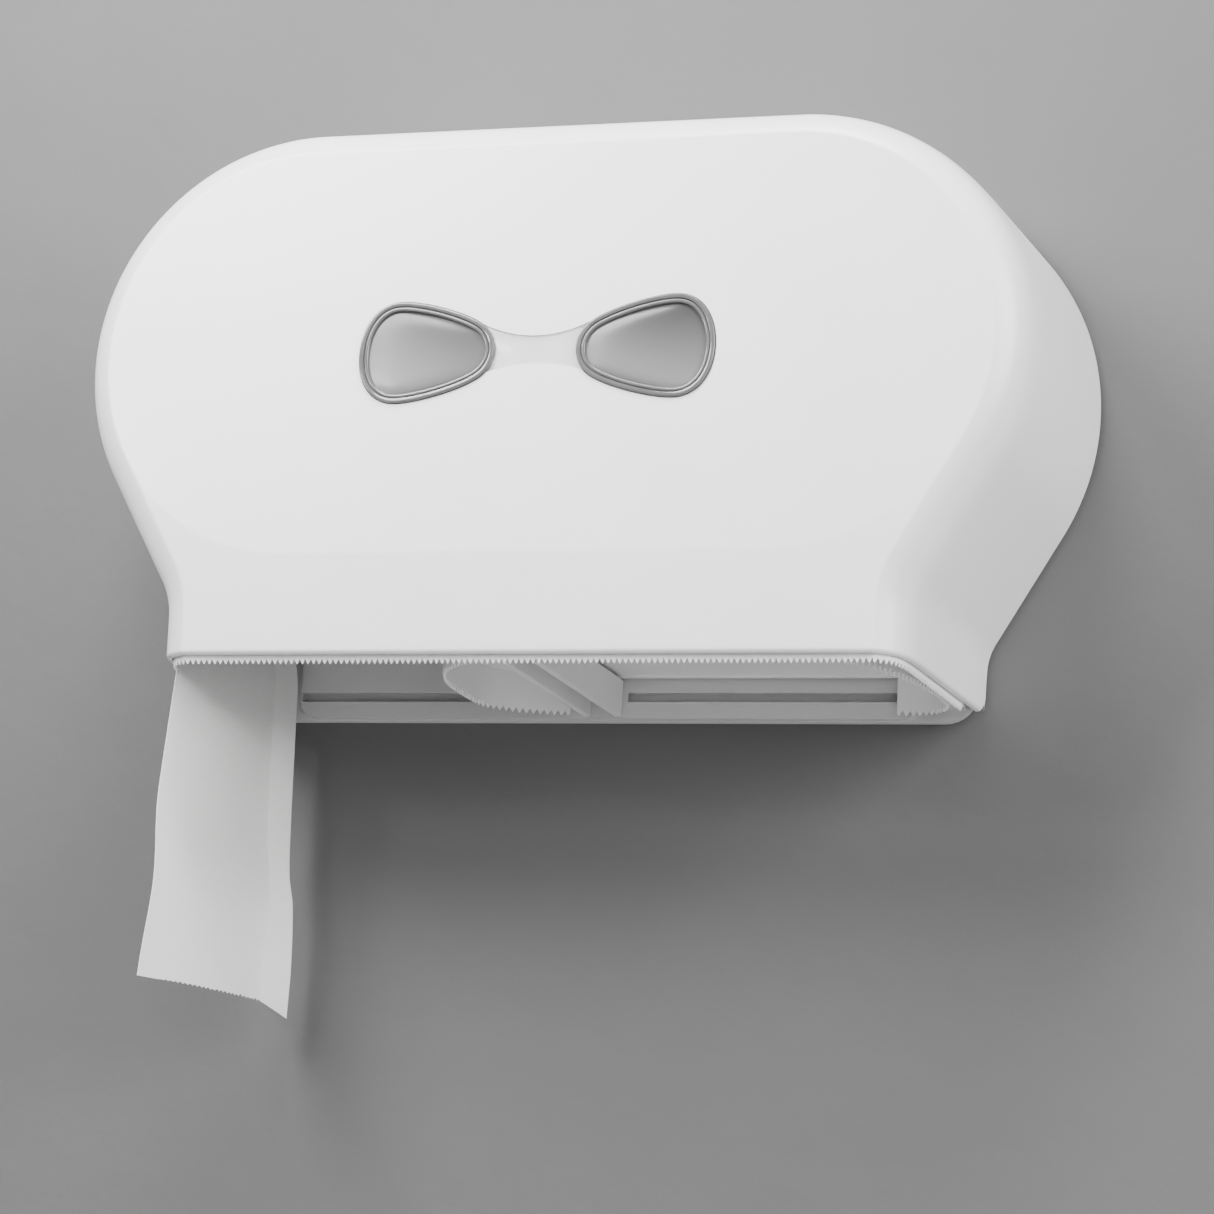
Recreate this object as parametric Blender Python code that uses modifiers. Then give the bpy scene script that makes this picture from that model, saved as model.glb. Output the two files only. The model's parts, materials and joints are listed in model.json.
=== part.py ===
"""Twin toilet-roll dispenser for a wall: hinged cover, two roll spindles and a sliding shutter.

Metres, +Z up, +X to the right seen from the front, the wall at Y = 0 and the front towards -Y.
The origin is the middle of the back plate's lower edge, on the wall.
"""

import math

import bmesh
import bpy
from mathutils import Vector

# Cover outline, seen from the front
LOBE_X, LOBE_Z = 0.111, 0.1405      # centre of each round end
LOBE_R = 0.0925                     # radius of the face's round ends
FLANK = math.radians(30)            # the flanks' angle from upright
NECK_X = 0.157                      # half width of the neck at the face
NECK_FILLET = 0.045
LIP_Z = 0.0040                      # lower edge of the cover
LOBE_STEPS, FILLET_STEPS, LIP_STEPS = 22, 4, 14

# Cover depth
FACE_Y, REAR_Y = -0.1343, -0.0020
CHIN_SLOPE = 0.085                  # how far the chin falls back per metre below the face
WALL = 0.0025
REAR_CORNER = 0.008                 # radius of the side walls' lower rear corners
FULL_DEPTH = REAR_Y - FACE_Y
DEPTHS = (0, 0.0012, 0.003, 0.0055, 0.009, 0.014, 0.022, 0.045, 0.088,
          FULL_DEPTH - REAR_CORNER, FULL_DEPTH - REAR_CORNER / 2, FULL_DEPTH - REAR_CORNER / 8,
          FULL_DEPTH)

# Window lens: each window blends three circles (x, z, radius), and the waist joins the two
WINDOW_CENTRE = (0.054, 0.138)
WINDOW_CIRCLES = ((0.0334, 0.1382, 0.0146), (0.0636, 0.1458, 0.0156), (0.0643, 0.1308, 0.0156))
WINDOW_BLEND = 8.5                  # the higher this is, the straighter the windows' sides
RIM_WIDTH = 0.0043
WAIST_Z, WAIST_CURVE, WAIST_REACH = (0.1321, 0.1442), (6.8, 9.5), 0.0310

GAP = 0.0003                        # clearance between pieces that meet

# Back plate
PLATE_T = 0.0050
PAD_Y, PAD_OFFSET, PAD_Z = -0.0102, -0.008, 0.0004
SLOT_Z = (0.0080, 0.0123)
SLOT_X = (0.0115, 0.1485)
SLOT_Y = -0.0062                    # floor of the slots
SEAT_Y = PAD_Y - GAP                # where pieces stand on the plate

# Rolls and spindles
ROLL_X, ROLL_Z = 0.100, 0.122
ROLL_Y = (-0.114, -0.018)
ROLL_R = {"left": 0.072, "right": 0.095}
CORE_R = (0.0300, 0.0315)
SPINDLE_R = 0.0290

# Shutter, at the right-hand end of its travel
SHUTTER_X, SHUTTER_Y, SHUTTER_Z = (-0.052, 0.1675), (-0.1243, -0.0120), (0.0010, 0.0213)
SHUTTER_T = 0.0018

# Hinge and lock
HINGE_Y, HINGE_Z = -0.009, 0.011
PIN_R = 0.0025
PIN_PLAY = 0.00006
LOCK_Y = -0.032

SCREW_X, SCREW_Z = 0.060, (0.060, 0.200)
SIDES = {"left": -1, "right": 1}
THROUGH = 0.03                      # how far a cutter runs past what it cuts


# ---------------------------------------------------------------- scene and helpers

def clear_scene():
    for item in list(bpy.data.objects):
        bpy.data.objects.remove(item)


def new_collection(name):
    collection = bpy.data.collections.new(name)
    bpy.context.scene.collection.children.link(collection)
    return collection


clear_scene()
PARTS = new_collection("roll_dispenser")
CUTTERS = new_collection("cutters")


def material(name, colour, roughness, metallic=0.0, alpha=1.0):
    made = bpy.data.materials.new(name)
    made.use_nodes = True
    shader = made.node_tree.nodes["Principled BSDF"]
    shader.inputs["Base Color"].default_value = (*colour, 1.0)
    shader.inputs["Roughness"].default_value = roughness
    shader.inputs["Metallic"].default_value = metallic
    shader.inputs["Alpha"].default_value = alpha
    return made


GLOSS_WHITE = material("gloss_white", (0.86, 0.86, 0.86), 0.25)
WHITE = material("white", (0.80, 0.80, 0.80), 0.45)
CLEAR = material("clear", (0.55, 0.56, 0.57), 0.10, alpha=0.5)
GREY = material("grey", (0.35, 0.36, 0.37), 0.50)
STEEL = material("steel", (0.60, 0.60, 0.61), 0.35, metallic=1.0)
CHROME = material("chrome", (0.75, 0.75, 0.76), 0.20, metallic=1.0)
BOARD = material("board", (0.48, 0.36, 0.24), 0.85)
TISSUE = material("tissue", (0.85, 0.85, 0.84), 0.95)


def adopt(obj, name, look):
    """Names an object and files it: with a look it is a part, and without one a cutter."""
    obj.name = name
    obj.data.name = name
    for home in list(obj.users_collection):
        home.objects.unlink(obj)
    if look is None:
        CUTTERS.objects.link(obj)
        obj.hide_render = True
        obj.display_type = "WIRE"
    else:
        PARTS.objects.link(obj)
        obj.data.materials.clear()
        obj.data.materials.append(look)
    return obj


def mesh_object(name, verts, faces, look=None, edges=()):
    data = bpy.data.meshes.new(name)
    data.from_pydata(verts, edges, faces)
    obj = bpy.data.objects.new(name, data)
    bpy.context.scene.collection.objects.link(obj)
    return adopt(obj, name, look)


def smooth(obj, angle=35):
    obj.data.shade_smooth()
    obj.data.set_sharp_from_angle(angle=math.radians(angle))


def box(name, low, high, look=None):
    """Box between two corners."""
    centre = [(a + b) / 2 for a, b in zip(low, high)]
    bpy.ops.mesh.primitive_cube_add(size=1, location=centre)
    obj = bpy.context.object
    obj.scale = [b - a for a, b in zip(low, high)]
    return adopt(obj, name, look)


AXIS_TURN = {"x": (0, math.pi / 2, 0), "y": (-math.pi / 2, 0, 0), "z": (0, 0, 0)}


def rod(name, place, axis, ends, radius, look=None, sides=32):
    """Cylinder round an axis through place, between two distances along that axis."""
    middle = Vector(place)
    middle["xyz".index(axis)] += sum(ends) / 2
    bpy.ops.mesh.primitive_cylinder_add(
        vertices=sides, radius=radius, depth=abs(ends[1] - ends[0]), location=middle,
        rotation=AXIS_TURN[axis])
    return adopt(bpy.context.object, name, look)


def area(profile):
    """Twice the signed area of a profile of (along, radius) points."""
    pairs = zip(profile, profile[1:] + profile[:1])
    return sum(a[1] * b[0] - b[1] * a[0] for a, b in pairs)


def turned(name, place, axis, profile, look=None, steps=48, ring=False):
    """Profile of (along, radius) points spun about an axis. A ring's profile is a closed loop."""
    if area(profile) > 0:
        profile = profile[::-1]
    verts = [(radius, 0.0, along) for along, radius in profile]
    count = len(verts)
    edges = [(i, i + 1) for i in range(count - 1)] + ([(count - 1, 0)] if ring else [])
    obj = mesh_object(name, verts, [], look, edges)
    obj.location = place
    obj.rotation_euler = AXIS_TURN[axis]
    spin = obj.modifiers.new("spin", "SCREW")
    spin.steps = spin.render_steps = steps
    spin.use_merge_vertices = True
    spin.merge_threshold = 0.00001
    spin.use_smooth_shade = True
    return obj


def flat(name, outline, y_range, look=None):
    """Outline of (x, z) points as a plate between two depths."""
    curve = bpy.data.curves.new(name, "CURVE")
    curve.dimensions = "2D"
    curve.fill_mode = "BOTH"
    curve.extrude = abs(y_range[1] - y_range[0]) / 2
    spline = curve.splines.new("POLY")
    spline.points.add(len(outline) - 1)
    for point, (x, z) in zip(spline.points, outline):
        point.co = (x, z, 0, 1)
    spline.use_cyclic_u = True
    guide = bpy.data.objects.new(name + "_curve", curve)
    bpy.context.scene.collection.objects.link(guide)
    guide.location.y = sum(y_range) / 2
    guide.rotation_euler.x = math.pi / 2
    return meshed(guide, name, look)


def meshed(guide, name, look):
    """The guide curve as a mesh object with its caps welded."""
    graph = bpy.context.evaluated_depsgraph_get()
    graph.update()
    data = bpy.data.meshes.new_from_object(guide.evaluated_get(graph))
    obj = bpy.data.objects.new(name, data)
    obj.matrix_world = guide.matrix_world
    bpy.context.scene.collection.objects.link(obj)
    bm = bmesh.new()
    bm.from_mesh(data)
    bmesh.ops.remove_doubles(bm, verts=bm.verts, dist=0.00001)
    bmesh.ops.recalc_face_normals(bm, faces=bm.faces)
    bm.to_mesh(data)
    bm.free()
    bpy.data.objects.remove(guide)
    return adopt(obj, name, look)


def cut(obj, *tools):
    for tool in tools:
        boolean(obj, tool, "DIFFERENCE")


def join(obj, *tools):
    for tool in tools:
        boolean(obj, tool, "UNION")


def boolean(obj, tool, operation):
    mod = obj.modifiers.new(tool.name, "BOOLEAN")
    mod.operation = operation
    mod.solver = "EXACT"
    mod.object = tool


def thicken(obj, thickness):
    """Gives an open surface its wall, behind its outer face."""
    mod = obj.modifiers.new("wall", "SOLIDIFY")
    mod.thickness = thickness
    mod.offset = -1
    mod.use_even_offset = True


def bevel_marked(obj, width, segments, marked):
    """Rounds the edges that marked(a, b) picks by their two end points."""
    weights = obj.data.attributes.new("bevel_weight_edge", "FLOAT", "EDGE")
    points = [v.co for v in obj.data.vertices]
    for edge, weight in zip(obj.data.edges, weights.data):
        weight.value = 1.0 if marked(*(points[i] for i in edge.vertices)) else 0.0
    mod = obj.modifiers.new("round", "BEVEL")
    mod.limit_method = "WEIGHT"
    mod.width = width
    mod.segments = segments


def pivot(name, place, members):
    """Empty on a joint's axis, with the pieces that move about it as its children."""
    empty = bpy.data.objects.new(name, None)
    empty.location = place
    empty.empty_display_size = 0.02
    PARTS.objects.link(empty)
    bpy.context.view_layer.update()
    for member in members:
        member.parent = empty
        member.matrix_parent_inverse = empty.matrix_world.inverted()


# ---------------------------------------------------------------- plane geometry

def arc(cx, cy, a, b, start, end, steps):
    """Points along an ellipse with half axes a and b, from one angle to another."""
    turns = [start + (end - start) * i / steps for i in range(steps + 1)]
    return [(cx + a * math.cos(t), cy + b * math.sin(t)) for t in turns]


def resample(path, step):
    """The same path in an even number of equal steps close to step."""
    lengths = [math.dist(a, b) for a, b in zip(path, path[1:])]
    total = sum(lengths)
    count = 2 * round(total / step / 2)
    out, segment, passed = [path[0]], 0, 0.0
    for k in range(1, count):
        goal = total * k / count
        while passed + lengths[segment] < goal:
            passed += lengths[segment]
            segment += 1
        share = (goal - passed) / lengths[segment]
        a, b = path[segment], path[segment + 1]
        out.append((a[0] + (b[0] - a[0]) * share, a[1] + (b[1] - a[1]) * share))
    return out + [path[-1]]


# ---------------------------------------------------------------- cover

def half_outline(grow, bottom):
    """Right half of the outline, from its lower end up over the round end."""
    tangent_x = LOBE_X + LOBE_R * math.cos(FLANK)
    tangent_z = LOBE_Z - LOBE_R * math.sin(FLANK)
    corner_z = tangent_z - (tangent_x - NECK_X) / math.tan(FLANK)
    start_z = corner_z - NECK_FILLET * math.tan(FLANK / 2)
    radius = NECK_FILLET - grow
    fillet = arc(NECK_X + NECK_FILLET, start_z, radius, radius, math.pi, math.pi - FLANK,
                 FILLET_STEPS)
    lobe = arc(LOBE_X, LOBE_Z, LOBE_R + grow, LOBE_R + grow, -FLANK, math.pi / 2, LOBE_STEPS)
    return [(NECK_X + grow, bottom)] + fillet + lobe


def outline(grow, bottom):
    """Open outline: up the right side, over the top and down the left side."""
    right = half_outline(grow, bottom)
    return right + [(-x, z) for x, z in reversed(right)]


def closed_outline(grow, bottom, corner, steps=8):
    """The outline closed along the bottom, with rounded lower corners."""
    x = NECK_X + grow - corner
    right = arc(x, bottom + corner, corner, corner, -math.pi / 2, 0, steps)[:-1]
    left = [(-px, pz) for px, pz in reversed(right)]
    return right + outline(grow, bottom + corner) + left


def flare(depth):
    """How far the side wall stands outside the face's edge, by depth behind the face."""
    return 0.013 * (1 - math.exp(-depth / 0.006)) + 0.045 * depth


def chin_drop(x, z):
    """How far the front falls back, below the face's rounded outline."""
    outside = math.hypot(max(abs(x) - LOBE_X, 0.0), min(z - LOBE_Z, 0.0)) - LOBE_R
    return CHIN_SLOPE * max(outside, 0.0)


def corner_lift(depth):
    """How far the side wall's lower edge rises towards its rear corner."""
    past = max(depth - (FULL_DEPTH - REAR_CORNER), 0.0)
    return REAR_CORNER - math.sqrt(max(REAR_CORNER ** 2 - past ** 2, 0.0))


def cover_rings():
    """Rings of the side wall, from the front edge to the wall."""
    front = [FACE_Y + chin_drop(x, z) for x, z in outline(0.0, LIP_Z)]
    rings = []
    for depth in DEPTHS:
        shape = outline(flare(depth), LIP_Z + corner_lift(depth))
        rings.append([(x, y + (REAR_Y - y) * depth / FULL_DEPTH, z)
                      for (x, z), y in zip(shape, front)])
    return rings


def crease_points():
    """Lower edge of the face, from the right-hand flank to the left-hand one."""
    steps = FILLET_STEPS + 2
    right = arc(LOBE_X, LOBE_Z, LOBE_R, LOBE_R, -FLANK, -math.pi / 2, steps)[1:]
    middle = [(LOBE_X * (1 - 2 * i / LIP_STEPS), LOBE_Z - LOBE_R) for i in range(1, LIP_STEPS)]
    left = [(-x, z) for x, z in reversed(right)]
    return [(x, FACE_Y, z) for x, z in right + middle + left]


def cover_surface():
    """Outer surface of the cover: side wall, chin and face."""
    rings = cover_rings()
    count = len(rings[0])
    verts = [p for ring in rings for p in ring]
    faces = []
    for j in range(len(rings) - 1):
        for i in range(count - 1):
            a = j * count + i
            faces.append((a, a + 1, a + count + 1, a + count))
    lip = [len(verts) + i for i in range(LIP_STEPS - 1)]
    right_x, lip_y, lip_z = rings[0][0]
    verts += [(right_x * (1 - 2 * i / LIP_STEPS), lip_y, lip_z) for i in range(1, LIP_STEPS)]
    crease = [len(verts) + i for i in range(len(crease_points()))]
    verts += crease_points()
    flank = FILLET_STEPS + 2
    low = list(range(flank, -1, -1)) + lip + list(range(count - 1, count - flank - 2, -1))
    high = [flank] + crease + [count - 1 - flank]
    faces.append((low[0], low[1], high[1]))
    for i in range(1, len(low) - 2):
        faces.append((high[i], low[i], low[i + 1], high[i + 1]))
    faces.append((low[-1], high[-2], low[-2]))
    faces.append(tuple(crease[::-1]) + tuple(range(flank, count - flank)))
    return verts, faces


def front_cover():
    cover = mesh_object("front_cover", *cover_surface(), GLOSS_WHITE)
    bm = bmesh.new()
    bm.from_mesh(cover.data)
    bmesh.ops.recalc_face_normals(bm, faces=bm.faces)
    face = max(bm.faces, key=lambda f: f.calc_area())
    if face.normal.y > 0:
        bmesh.ops.reverse_faces(bm, faces=bm.faces)
    bm.to_mesh(cover.data)
    bm.free()
    smooth(cover, 20)
    thicken(cover, WALL)
    add_hinge_bosses(cover)
    cut(cover, rod("cut_lock", (0, LOCK_Y, 0.245), "z", (-0.015, 0.015), 0.0093, sides=48))
    return cover


def add_hinge_bosses(cover):
    place, radius = (0, HINGE_Y, HINGE_Z), PIN_R + 0.0012
    inner, outer, bore_from, bore_to = 0.1696, 0.1742, 0.1680, 0.1744
    for side, sign in SIDES.items():
        join(cover, rod("add_boss_" + side, place, "x", (sign * inner, sign * outer), radius))
        cut(cover, rod("cut_boss_" + side, place, "x", (sign * bore_from, sign * bore_to),
                       PIN_R + PIN_PLAY, sides=48))


# ---------------------------------------------------------------- window lens

def window_outline(sign, grow=0.0, steps=56):
    """One window: a rounded triangle with bowed sides, from its support in each direction."""
    cx, cz = WINDOW_CENTRE
    nudge = 0.0001

    def support(turn):
        reaches = [(x - cx) * math.cos(turn) + (z - cz) * math.sin(turn) + radius + grow
                   for x, z, radius in WINDOW_CIRCLES]
        return sum(max(r, 0.0) ** WINDOW_BLEND for r in reaches) ** (1 / WINDOW_BLEND)

    points = []
    for k in range(steps):
        turn = 2 * math.pi * k / steps
        reach = support(turn)
        slope = (support(turn + nudge) - support(turn - nudge)) / (2 * nudge)
        points.append((sign * (cx + reach * math.cos(turn) - slope * math.sin(turn)),
                       cz + reach * math.sin(turn) + slope * math.cos(turn)))
    return points[::sign]


def waist_outline(grow, reach, steps=6):
    """Strip between the windows, narrowest in the middle."""
    xs = [reach * i / steps for i in range(-steps, steps + 1)]
    low = [(x, WAIST_Z[0] - grow - WAIST_CURVE[0] * x * x) for x in xs]
    high = [(x, WAIST_Z[1] + grow + WAIST_CURVE[1] * x * x) for x in xs]
    return low + high[::-1]


def window_lens(cover):
    """Bow-tie lens that fills both windows, and the openings it sits in."""
    before, behind = FACE_Y - 2 * WALL, FACE_Y + 2 * WALL
    cut(cover, flat("cut_waist", waist_outline(GAP, WAIST_REACH), (before, FACE_Y + 0.0012)))
    lens = flat("window_lens", waist_outline(0.0, WAIST_REACH - GAP), (FACE_Y, FACE_Y + 0.0009),
                CLEAR)
    for side, sign in SIDES.items():
        cut(cover, flat("cut_window_" + side, window_outline(sign, GAP), (before, behind)))
        join(lens, flat("add_rim_" + side, window_outline(sign), (FACE_Y - 0.0012,
                                                                 FACE_Y + 0.0030)))
        cut(lens, flat("cut_pane_" + side, window_outline(sign, -RIM_WIDTH),
                       (before, FACE_Y + 0.0010)))
    return lens


# ---------------------------------------------------------------- serrated strip and shutter

def skirt(verts, faces, path, top, bottoms, closed):
    """Adds an upright ribbon under path, from top down to a height for each point."""
    base, count = len(verts), len(path)
    for (x, y), low in zip(path, bottoms):
        verts += [(x, y, top), (x, y, low)]
    for k in range(count if closed else count - 1):
        a, b = base + 2 * k, base + 2 * ((k + 1) % count)
        faces.append((a, a + 1, b + 1, b))
    return [base + 2 * k for k in range(count)]


def lip_path(inset, reach, steps=48):
    """Plan of the cover's lower edge, moved inwards by inset: left side, front, right side."""
    front_y = FACE_Y + chin_drop(NECK_X, LIP_Z)
    scale = (REAR_Y - front_y) / (REAR_Y - FACE_Y)
    edge = []
    for i in range(steps):
        depth = reach * (1 - i / (steps - 1)) ** 2
        edge.append(Vector((NECK_X + flare(depth), front_y + depth * scale)))
    side = []
    for ahead, point, behind in zip(edge, edge[1:], edge[2:]):
        along = (behind - ahead).normalized()
        moved = point + inset * Vector((along.y, -along.x))
        if moved.y > front_y + inset:
            side.append(tuple(moved))
    return [(-x, y) for x, y in side] + side[::-1]


def cutter_strip():
    """Toothed strip inside the cover's lower edge, round its front and both sides."""
    pitch, root, tip, top, thick, reach = 0.0026, 0.0024, 0.0002, 0.0120, 0.0014, 0.108
    path = resample(lip_path(WALL + 2 * GAP, reach), pitch / 2)
    verts, faces = [], []
    skirt(verts, faces, path, top, [tip if k % 2 else root for k in range(len(path))], False)
    strip = mesh_object("cutter_strip", verts, faces, WHITE)
    thicken(strip, thick)
    return strip


def shutter_plan():
    """Plan of the shutter: round ends, the front corners larger than the rear right one."""
    (x0, x1), (y0, y1) = SHUTTER_X, SHUTTER_Y
    quarter = math.pi / 2
    corners = (
        (x0 + 0.038, y0 + 0.060, 0.038, 0.060, 2, 16),
        (x1 - 0.035, y0 + 0.082, 0.035, 0.082, 3, 20),
        (x1 - 0.024, y1 - 0.024, 0.024, 0.024, 4, 10),
        (x0 + 0.038, y1 - 0.030, 0.038, 0.030, 5, 14),
    )
    plan = []
    for x, y, a, b, start, steps in corners:
        plan += arc(x, y, a, b, start * quarter, (start + 1) * quarter, steps)
    return plan


def roll_shutter():
    """Flat top with toothed skirts hanging from its two ends, open between them."""
    pitch, tooth = 0.0033, 0.0022
    low, top = SHUTTER_Z
    lintel = top - SHUTTER_T - 0.0009
    left_end, right_end = -0.0145, {"front": 0.1290, "rear": 0.1385}
    plan = shutter_plan()
    path = resample(plan + plan[:1], pitch / 2)[:-1]
    bottoms = []
    for k, (x, y) in enumerate(path):
        limit = right_end["front" if y < -0.06 else "rear"]
        hangs = x < left_end or x > limit
        bottoms.append(low + tooth * (k % 2) if hangs else lintel)
    verts, faces = [], []
    rim = skirt(verts, faces, path, top, bottoms, True)
    faces.append(tuple(rim))
    shutter = mesh_object("roll_shutter", verts, faces, WHITE)
    thicken(shutter, SHUTTER_T)
    return shutter


# ---------------------------------------------------------------- back plate and what it carries

def slab(name, grow, bottom, corner, y_range, edge, look=None):
    """Plate in the cover's outline, with its front edge rounded."""
    obj = flat(name, closed_outline(grow, bottom, corner), y_range, look)
    front = min(y_range)
    turn_back = obj.matrix_world

    def at_front(a, b):
        return all(abs((turn_back @ p).y - front) < 1e-5 for p in (a, b))

    bevel_marked(obj, edge, 3, at_front)
    return obj


def rib_cells():
    """Pockets in the plate's back, with ribs left between them."""
    columns = ((-0.136, -0.065), (-0.055, -0.0125), (-0.0075, 0.0075), (0.0125, 0.055),
               (0.065, 0.136))
    rows = ((0.020, 0.055), (0.065, 0.114), (0.130, 0.195), (0.205, 0.214))
    for i, (x0, x1) in enumerate(columns):
        for j, (z0, z1) in enumerate(rows):
            yield box(f"cut_cell_{i}_{j}", (x0, PAD_Y + WALL, z0), (x1, THROUGH, z1))


def back_plate():
    grow = flare(REAR_Y - FACE_Y) - WALL - 0.0008
    plate = slab("back_plate", grow, 0.0, 0.015, (-PLATE_T, 0.0), 0.0022, WHITE)
    join(plate, slab("add_pad", PAD_OFFSET, PAD_Z, 0.009, (PAD_Y, -0.001), 0.0045))
    for side, sign in SIDES.items():
        place, ends = (0, HINGE_Y, HINGE_Z), (sign * 0.1600, sign * 0.1688)
        join(plate, rod("add_lug_" + side, place, "x", ends, 0.0055))
        low, high = sorted(ends)
        join(plate, box("add_lug_root_" + side, (low + 0.0002, -0.0088, HINGE_Z - 0.0050),
                        (high - 0.0002, -0.0020, HINGE_Z + 0.0050)))
        cut(plate, rod("cut_pin_" + side, place, "x", (sign * 0.1590, sign * 0.1700),
                       PIN_R + PIN_PLAY, sides=48))
        x0, x1 = sorted(sign * x for x in SLOT_X)
        cut(plate, box("cut_slot_" + side, (x0, -THROUGH, SLOT_Z[0]), (x1, SLOT_Y, SLOT_Z[1])))
        cut(plate, rod("cut_spindle_" + side, (sign * ROLL_X, 0, ROLL_Z), "y",
                       (-THROUGH, THROUGH), 0.0022, sides=24))
    cut(plate, *rib_cells())
    for i, (x, z) in enumerate(screw_places()):
        cut(plate, rod(f"cut_screw_{i + 1}", (x, 0, z), "y", (-THROUGH, THROUGH), 0.0026,
                       sides=24))
    return plate


def centre_bridge():
    """Beam from the plate to the front, with two ribs under it and a channel between them."""
    half, inner = 0.0092, 0.0057
    bottom, roof, top = 0.0010, 0.0140, 0.0180
    shape = [(-half, bottom), (-inner, bottom), (-inner, roof), (inner, roof), (inner, bottom),
             (half, bottom), (half, top), (-half, top)]
    return flat("centre_bridge", shape, (-0.1234, SEAT_Y), WHITE)


def shutter_guide():
    """Angle on the plate that keeps the shutter's rear edge down."""
    bottom = SHUTTER_Z[1] + GAP
    guide = box("shutter_guide", (-0.045, -0.0190, bottom), (0.045, SEAT_Y, bottom + 0.002), WHITE)
    join(guide, box("add_guide_back", (-0.0448, SEAT_Y - 0.0020, bottom + 0.0010),
                    (0.0448, SEAT_Y - 0.0001, bottom + 0.0114)))
    return guide


def spindle(side):
    place = (SIDES[side] * ROLL_X, 0, ROLL_Z)
    flange, web, front = SEAT_Y - 0.0045, SEAT_Y - 0.0060, -0.1160
    bore = SPINDLE_R - 0.0035
    turned("spindle_" + side, place, "y", [
        (SEAT_Y, 0.0380), (flange + 0.0015, 0.0380), (flange, 0.0365), (flange, SPINDLE_R),
        (front + 0.0015, SPINDLE_R), (front, SPINDLE_R - 0.0015), (front, bore), (web, bore),
        (web, 0.0023), (SEAT_Y, 0.0023)], WHITE, ring=True)
    cap_back = front - GAP
    cap = turned("spindle_cap_" + side, place, "y", [
        (-0.1190, 0.0), (-0.1190, SPINDLE_R - 0.0020), (-0.1180, SPINDLE_R),
        (cap_back, SPINDLE_R), (cap_back, bore - 0.0005), (-0.1100, bore - 0.0005),
        (-0.1100, bore - 0.0025), (-0.1170, bore - 0.0025), (-0.1170, 0.0)], GREY)
    join(cap, box("add_tab_" + side, (place[0] - 0.006, -0.1185, ROLL_Z + 0.0240),
                  (place[0] + 0.006, -0.1166, ROLL_Z + 0.0345)))
    head = web - GAP
    turned("spindle_screw_" + side, place, "y", [
        (head - 0.0029, 0.0), (head - 0.0029, 0.0030), (head - 0.0020, 0.0042), (head, 0.0042),
        (head, 0.0021), (-0.0005, 0.0021), (-0.0005, 0.0)], STEEL, steps=24)


def roll(side):
    place = (SIDES[side] * ROLL_X, 0, ROLL_Z)
    front, rear = ROLL_Y
    radius, inside, edge = ROLL_R[side], CORE_R[1] + 0.0001, 0.0010
    core = turned("roll_core_" + side, place, "y", [
        (front, CORE_R[0]), (front, CORE_R[1]), (rear, CORE_R[1]), (rear, CORE_R[0])],
        BOARD, ring=True)
    paper = turned("paper_roll_" + side, place, "y", [
        (front, inside), (front, radius - edge), (front + edge, radius), (rear - edge, radius),
        (rear, radius - edge), (rear, inside)], TISSUE, steps=72, ring=True)
    pivot(f"roll_{side}_axis", place, [core, paper])


def ease(t):
    t = min(max(t, 0.0), 1.0)
    return t * t * (3 - 2 * t)


def tail_point(z, share):
    """Point of the hanging sheet at a height, from its front edge (0) to its rear edge (1)."""
    turn_in, lean = ease((0.110 - z) / 0.085), ease(-z / 0.14)
    start = -ROLL_X - ROLL_R["left"] - 2 * GAP
    front = Vector((start + 0.0076 * turn_in - 0.0060 * lean, -0.1135 + 0.0015 * turn_in))
    fold = Vector((start + 0.0170 * turn_in + 0.0055 * lean, -0.0300 + 0.0050 * turn_in))
    rear = Vector((start + 0.0270 * turn_in + 0.0065 * lean, -0.0185 - 0.0045 * turn_in))
    bend = 0.875
    if share > bend:
        return (*fold.lerp(rear, (share - bend) / (1 - bend)), z)
    u = share / bend
    sway = 0.0064 * u * (1 - u) * turn_in * math.sin(55.0 * z)
    return (*(front.lerp(fold, u) + Vector((sway, 0.0))), z)


def paper_tail():
    """Sheet hanging from the left-hand roll, folded near its rear edge, with a torn end."""
    columns, rows, thick = 24, 14, 0.0004
    top, end, slant, tear = ROLL_Z + 0.004, -0.1350, 0.0060, 0.0016
    verts = []
    for j in range(rows + 1):
        for i in range(columns + 1):
            share = i / columns
            low = end - slant * share ** 3 + tear * (i % 2)
            verts.append(tail_point(top + (low - top) * j / rows, share))
    wide = columns + 1
    faces = [(a, a + wide, a + wide + 1, a + 1)
             for j in range(rows) for a in range(j * wide, j * wide + columns)]
    tail = mesh_object("paper_tail", verts, faces, TISSUE)
    thicken(tail, thick)
    smooth(tail, 40)
    return tail


# ---------------------------------------------------------------- hinge pins, lock and screws

def hinge_pins():
    for side, sign in SIDES.items():
        inner, outer, edge = sign * 0.1604, sign * 0.1740, sign * 0.0005
        turned("hinge_pin_" + side, (0, HINGE_Y, HINGE_Z), "x", [
            (inner, 0.0), (inner, PIN_R - 0.0005), (inner + edge, PIN_R), (outer - edge, PIN_R),
            (outer, PIN_R - 0.0005), (outer, 0.0)], STEEL)


def lock_housing():
    """Barrel through the cover's top, with a flange outside."""
    return turned("lock_housing", (0, LOCK_Y, 0), "z", [
        (0.2532, 0.0052), (0.2532, 0.0108), (0.2526, 0.0120), (0.2514, 0.0120),
        (0.2514, 0.0090), (0.2340, 0.0090), (0.2340, 0.0052)], CHROME, ring=True)


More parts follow.
